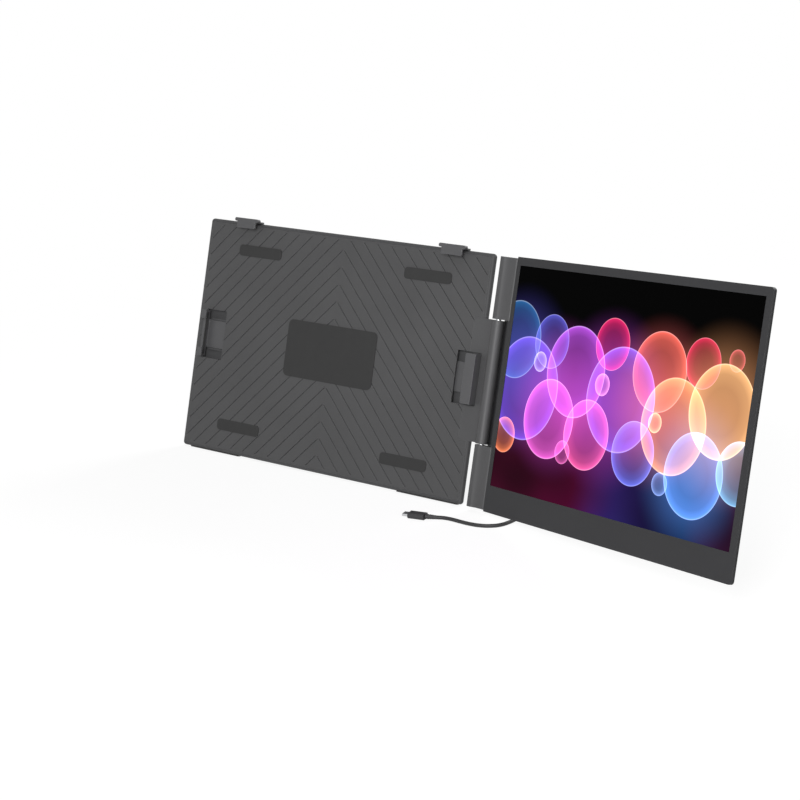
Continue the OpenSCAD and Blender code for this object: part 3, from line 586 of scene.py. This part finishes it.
ink = moulded("ink", (0.42, 0.42, 0.43), 0.6, edge=0.01 * MM, worn=0.1)
ring = (
    arc((0, 0), RING_R, RING_START, RING_END)
    + arc((0, 0), RING_R - STROKE, RING_END, RING_START)
)
SIGNS = {
    "power": [ring, POWER_STROKE],
    "minus": [bar((0, 0), SPAN, STROKE)],
    "plus": [bar((0, 0), SPAN, STROKE), bar((0, 0), STROKE, SPAN)],
}
for sign, outlines in SIGNS.items():
    button = sign + "_button"
    points = [vertex.co for vertex in nodes[button].data.vertices]
    end = max(point.dot(screen_right) for point in points)
    face = [point for point in points if point.dot(screen_right) > end - FACE_SLACK]
    middle = sum(face, Vector()) / len(face)
    for k, outline in enumerate(outlines):
        piece = prism(
            f"{sign}_sign_{k}", button, middle, (-screen_out, screen_up, screen_right),
            outline, -INK_BITE, INK_T - INK_STEP * k, ink,
        )
    print(f"{sign}: strokes in its sign: {len(outlines)}")

# %% [markdown]
# ## The picture on the screen
#
# A liquid-crystal panel is a dark, matt glass that gives its own light, so the picture
# is an Emission Color over a black base. The shader draws it in three layers that add
# up. The ground is black above and glows dimly below. Wide patches of haze tint it, cool
# at the left and warm at the right. Over these lie translucent discs with bright rims.
# Each disc is a single Color Ramp of the distance from its centre: a ramp for every disc
# keeps the shader small enough to run, where sums for each rim would not.

# %% The picture
PICTURE_W = 344.6 * MM
PICTURE_LEFT = panel_left + 1.9 * MM
PICTURE_LOW = panel_low + 8 * MM
# Each disc: centre across and up and radius, in picture widths, then colour and strength
DISCS = [
    ((0.03, 0.42), 0.110, (0.02, 0.16, 0.40), 0.8),
    ((0.10, 0.29), 0.145, (0.16, 0.07, 0.72), 1.2),
    ((0.19, 0.43), 0.075, (0.12, 0.12, 0.70), 0.9),
    ((0.22, 0.22), 0.110, (0.80, 0.12, 0.62), 1.2),
    ((0.31, 0.36), 0.125, (0.45, 0.08, 0.70), 1.2),
    ((0.39, 0.20), 0.095, (0.95, 0.12, 0.38), 1.2),
    ((0.45, 0.45), 0.070, (0.85, 0.02, 0.14), 1.1),
    ((0.51, 0.31), 0.140, (0.20, 0.10, 0.80), 1.2),
    ((0.59, 0.18), 0.085, (0.16, 0.20, 0.90), 1.1),
    ((0.65, 0.40), 0.105, (0.90, 0.14, 0.10), 1.2),
    ((0.73, 0.27), 0.125, (0.95, 0.36, 0.14), 1.3),
    ((0.81, 0.44), 0.065, (0.85, 0.02, 0.10), 1.1),
    ((0.83, 0.16), 0.110, (0.12, 0.32, 0.95), 1.2),
    ((0.90, 0.33), 0.120, (0.95, 0.52, 0.22), 1.1),
    ((0.99, 0.19), 0.080, (0.24, 0.60, 0.95), 1.0),
    ((0.03, 0.15), 0.050, (1.00, 0.26, 0.10), 1.2),
    ((0.15, 0.37), 0.028, (0.50, 0.45, 0.95), 1.3),
    ((0.30, 0.14), 0.032, (0.90, 0.16, 0.55), 1.0),
    ((0.43, 0.34), 0.030, (0.90, 0.30, 0.60), 1.4),
    ((0.66, 0.27), 0.026, (1.00, 0.62, 0.35), 1.4),
    ((0.71, 0.12), 0.030, (0.30, 0.45, 1.00), 1.0),
    ((0.93, 0.46), 0.028, (0.95, 0.14, 0.16), 1.0),
]
# How strongly a disc glows at each part of its radius, and how white its rim is
DISC_GLOW = [(0, 0.15), (0.5, 0.20), (0.78, 0.40), (0.92, 0.72), (0.965, 0.95)]
RIM_AT = 0.985
RIM_WHITE = 0.28
# Soft patches of colour behind the discs: centre, radius and colour
HAZE = [
    ((0.06, 0.34), 0.25, (0.06, 0.05, 0.30)), ((0.24, 0.28), 0.24, (0.30, 0.04, 0.30)),
    ((0.46, 0.30), 0.26, (0.26, 0.04, 0.34)), ((0.66, 0.32), 0.24, (0.52, 0.10, 0.10)),
    ((0.90, 0.32), 0.25, (0.50, 0.22, 0.10)), ((0.82, 0.16), 0.22, (0.05, 0.14, 0.40)),
]
# The ground's tints from left to right along the lower edge
GROUND = [
    (0.0, (0.30, 0.02, 0.10)), (0.35, (0.42, 0.01, 0.14)), (0.6, (0.10, 0.05, 0.45)),
    (0.8, (0.03, 0.12, 0.50)), (1.0, (0.25, 0.02, 0.10)),
]
# The ground's glow at its lowest, and the heights between which it fades, in picture widths
GROUND_GLOW = 0.30
FADE_FROM, FADE_TO = 0.05, 0.42


def lit_panel(name):
    """The panel's matt glass with its glowing picture."""
    finish = Finish(bpy.data.materials.new(name))
    place = finish.add("TexCoord", out="Object")
    across = (finish.dot(place, screen_right) - PICTURE_LEFT) / PICTURE_W
    up = (finish.dot(place, screen_up) - PICTURE_LOW) / PICTURE_W
    spot = finish.add("CombineXYZ", values={0: across, 1: up})

    def fall(value, start, end, high=1.0):
        """high up to the start, and 0 from the end on."""
        settings = {"interpolation_type": "SMOOTHSTEP"}
        return finish.add("MapRange", settings, {0: value, 1: start, 2: end, 3: high, 4: 0})

    def distance(centre, radius):
        """0 at the centre, and 1 at the radius."""
        return finish.vector("DISTANCE", spot, (*centre, 0), "Value") / radius

    cloud = finish.noise(spot, 3.2, 1)
    tint = finish.add("ValToRGB", {"stops": GROUND}, {0: across + (cloud - 0.5) * 0.5})
    level = fall(up, FADE_FROM, FADE_TO, GROUND_GLOW) * cloud ** 2 * 2
    glow = finish.vector("MULTIPLY", tint, level)
    for centre, radius, colour in HAZE:
        patch = finish.vector("MULTIPLY", colour, fall(distance(centre, radius), 0, 1))
        glow = finish.vector("ADD", glow, patch)
    for centre, radius, colour, power in DISCS:
        stops = [(reach, shade(colour, power * level)) for reach, level in DISC_GLOW]
        stops += [(RIM_AT, shade(colour, power, RIM_WHITE)), (1.0, (0, 0, 0))]
        disc = finish.add("ValToRGB", {"stops": stops}, {0: distance(centre, radius)})
        glow = finish.vector("ADD", glow, disc)
    return finish.set(
        Base_Color=(0.001, 0.001, 0.001),
        Roughness=0.3 + cloud * 0.02,
        Specular_IOR_Level=0.005,
        Emission_Color=glow,
        Emission_Strength=1.0,
    )


dress(lit_panel("lit_panel"), "lcd_panel")

# %% [markdown]
# ## The pieces inside
#
# Most of these are hidden when the housing is closed, yet they show through the sockets
# and at the seams, and whoever opens the model meets them. A circuit board is green
# lacquer over copper tracks, which a Brick pattern suggests well enough at this size.

# %% Inner pieces
TRACK_SCALE = 260
TRACK_GAP = 0.04


def circuit_board(name):
    """Green lacquer over a pattern of tracks."""
    finish = Finish(bpy.data.materials.new(name))
    place = finish.add("TexCoord", out="Object")
    values = {"Vector": place, "Scale": TRACK_SCALE, "Mortar Size": TRACK_GAP}
    tracks = finish.add("TexBrick", values=values, out="Fac")
    blotch = finish.noise(place, 120)
    lacquer = finish.mix(blotch, (0.010, 0.060, 0.028), (0.016, 0.085, 0.040))
    return finish.set(
        Base_Color=finish.mix(tracks, lacquer, (0.05, 0.20, 0.09)),
        Roughness=0.35 + blotch * 0.1,
    )


dress(circuit_board("board_green"), "main_board", "button_board")
dress(moulded("white_diffuser", (0.70, 0.71, 0.72), 0.6, worn=0.1), "backlight_unit")
dress(moulded("speaker_black", (0.020, 0.020, 0.020), 0.6), "speakers")

# %% [markdown]
# ## Floor and world
#
# The set is a plain white floor that keeps a faint shadow. Only its look is bright: its
# shader glows for camera, mirror and glass rays, and every other ray meets ordinary
# paper, so the floor doesn't flood the object with light. Near the object a share of the
# paper is left in what the camera sees, which is what carries the shadow, and the glow is
# a little stronger there to make up for it. Both fade out towards a metre away. The world
# works the same way: white when seen, and dim as a light.

# %% Floor and world
MIDDLE = Vector((0.15, 0.0, 0.0))
FLOOR_R = 14
FLOOR_SIDES = 64
NEAR, FAR = 0.2, 1.0
NEAR_GLOW = 1.15
NEAR_SHARE = 0.72
AMBIENT = 0.12
floor_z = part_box("bottom_feet")[0].z


def seen_directly(finish):
    """1 for camera, mirror and glass rays, and 0 for light that spreads from a surface."""
    seen = finish.add("LightPath", out="Is Camera Ray")
    for ray in ("Is Glossy Ray", "Is Transmission Ray"):
        seen = finish.math("MAXIMUM", seen, finish.add("LightPath", out=ray))
    return seen


def floor_paper(name):
    """White paper that glows where it is seen."""
    finish = Finish(bpy.data.materials.new(name), end="Material Output")
    finish.nodes.remove(finish.nodes["Principled BSDF"])
    place = finish.add("TexCoord", out="Object")
    away = finish.vector("DISTANCE", place, (MIDDLE.x, MIDDLE.y, floor_z), "Value")

    def from_middle(near):
        """A value that goes from near, at the object, to 1, a metre away."""
        values = {"Value": away, "From Min": NEAR, "From Max": FAR, "To Min": near, "To Max": 1}
        return finish.add("MapRange", {"interpolation_type": "SMOOTHSTEP"}, values)

    paper = finish.add("BsdfDiffuse", values={"Color": (0.9, 0.9, 0.9)})
    glow = finish.add("Emission", values={"Strength": from_middle(NEAR_GLOW)})
    share = seen_directly(finish) * from_middle(NEAR_SHARE)
    return finish.set(Surface=finish.add("MixShader", values={0: share, 1: paper, 2: glow}))


turns = [k * math.tau / FLOOR_SIDES for k in range(FLOOR_SIDES)]
rim = [(FLOOR_R * math.cos(turn), FLOOR_R * math.sin(turn), floor_z) for turn in turns]
floor_mesh = bpy.data.meshes.new("floor")
floor_mesh.from_pydata(rim, [], [list(range(FLOOR_SIDES))])
floor_mesh.materials.append(floor_paper("floor_white"))
floor = bpy.data.objects.new("floor", floor_mesh)
bpy.context.scene.collection.objects.link(floor)

studio = Finish(bpy.data.worlds.new("studio"), end="Background")
level = studio.add("MapRange", values={"Value": seen_directly(studio), "To Min": AMBIENT})
bpy.context.scene.world = studio.set(Color=(1, 1, 1), Strength=level)
print(f"floor at {floor_z:.4f} m")

# %% [markdown]
# ## Lamps
#
# Four soft lamps look at the middle of the object. The key stands in front at the right,
# near the line of the camera, and makes the round barrel read as round. The top lamp
# draws the upper edges, the side lamp fills the faces that look right, and the back lamp
# keeps the rear from going black when the object is seen from behind.

# %% Lamps
# Each lamp: name, azimuth from the front (to the right), height angle, distance, size, watts
LAMPS = [
    ("key", 24, 25, 2.4, 0.9, 38),
    ("top", 20, 75, 2.0, 1.2, 6),
    ("side", 64, 15, 2.4, 1.2, 10),
    ("back", 165, 30, 2.4, 1.2, 30),
]
for name, azimuth, height, distance, size, watts in LAMPS:
    lamp = bpy.data.objects.new(name, bpy.data.lights.new(name, "AREA"))
    lamp.data.size = size
    lamp.data.energy = watts
    a, h = math.radians(azimuth), math.radians(height)
    away = Vector((math.sin(a) * math.cos(h), -math.cos(a) * math.cos(h), math.sin(h)))
    lamp.location = MIDDLE + away * distance
    lamp.rotation_euler = away.to_track_quat("Z", "Y").to_euler()
    bpy.context.scene.collection.objects.link(lamp)
print(f"{len(LAMPS)} lamps")

# %% [markdown]
# ## Finishing
#
# The view transform is set to Standard, which shows a colour as it is written.

# %% Finish
bpy.context.scene.view_settings.view_transform = "Standard"
bpy.context.view_layer.update()
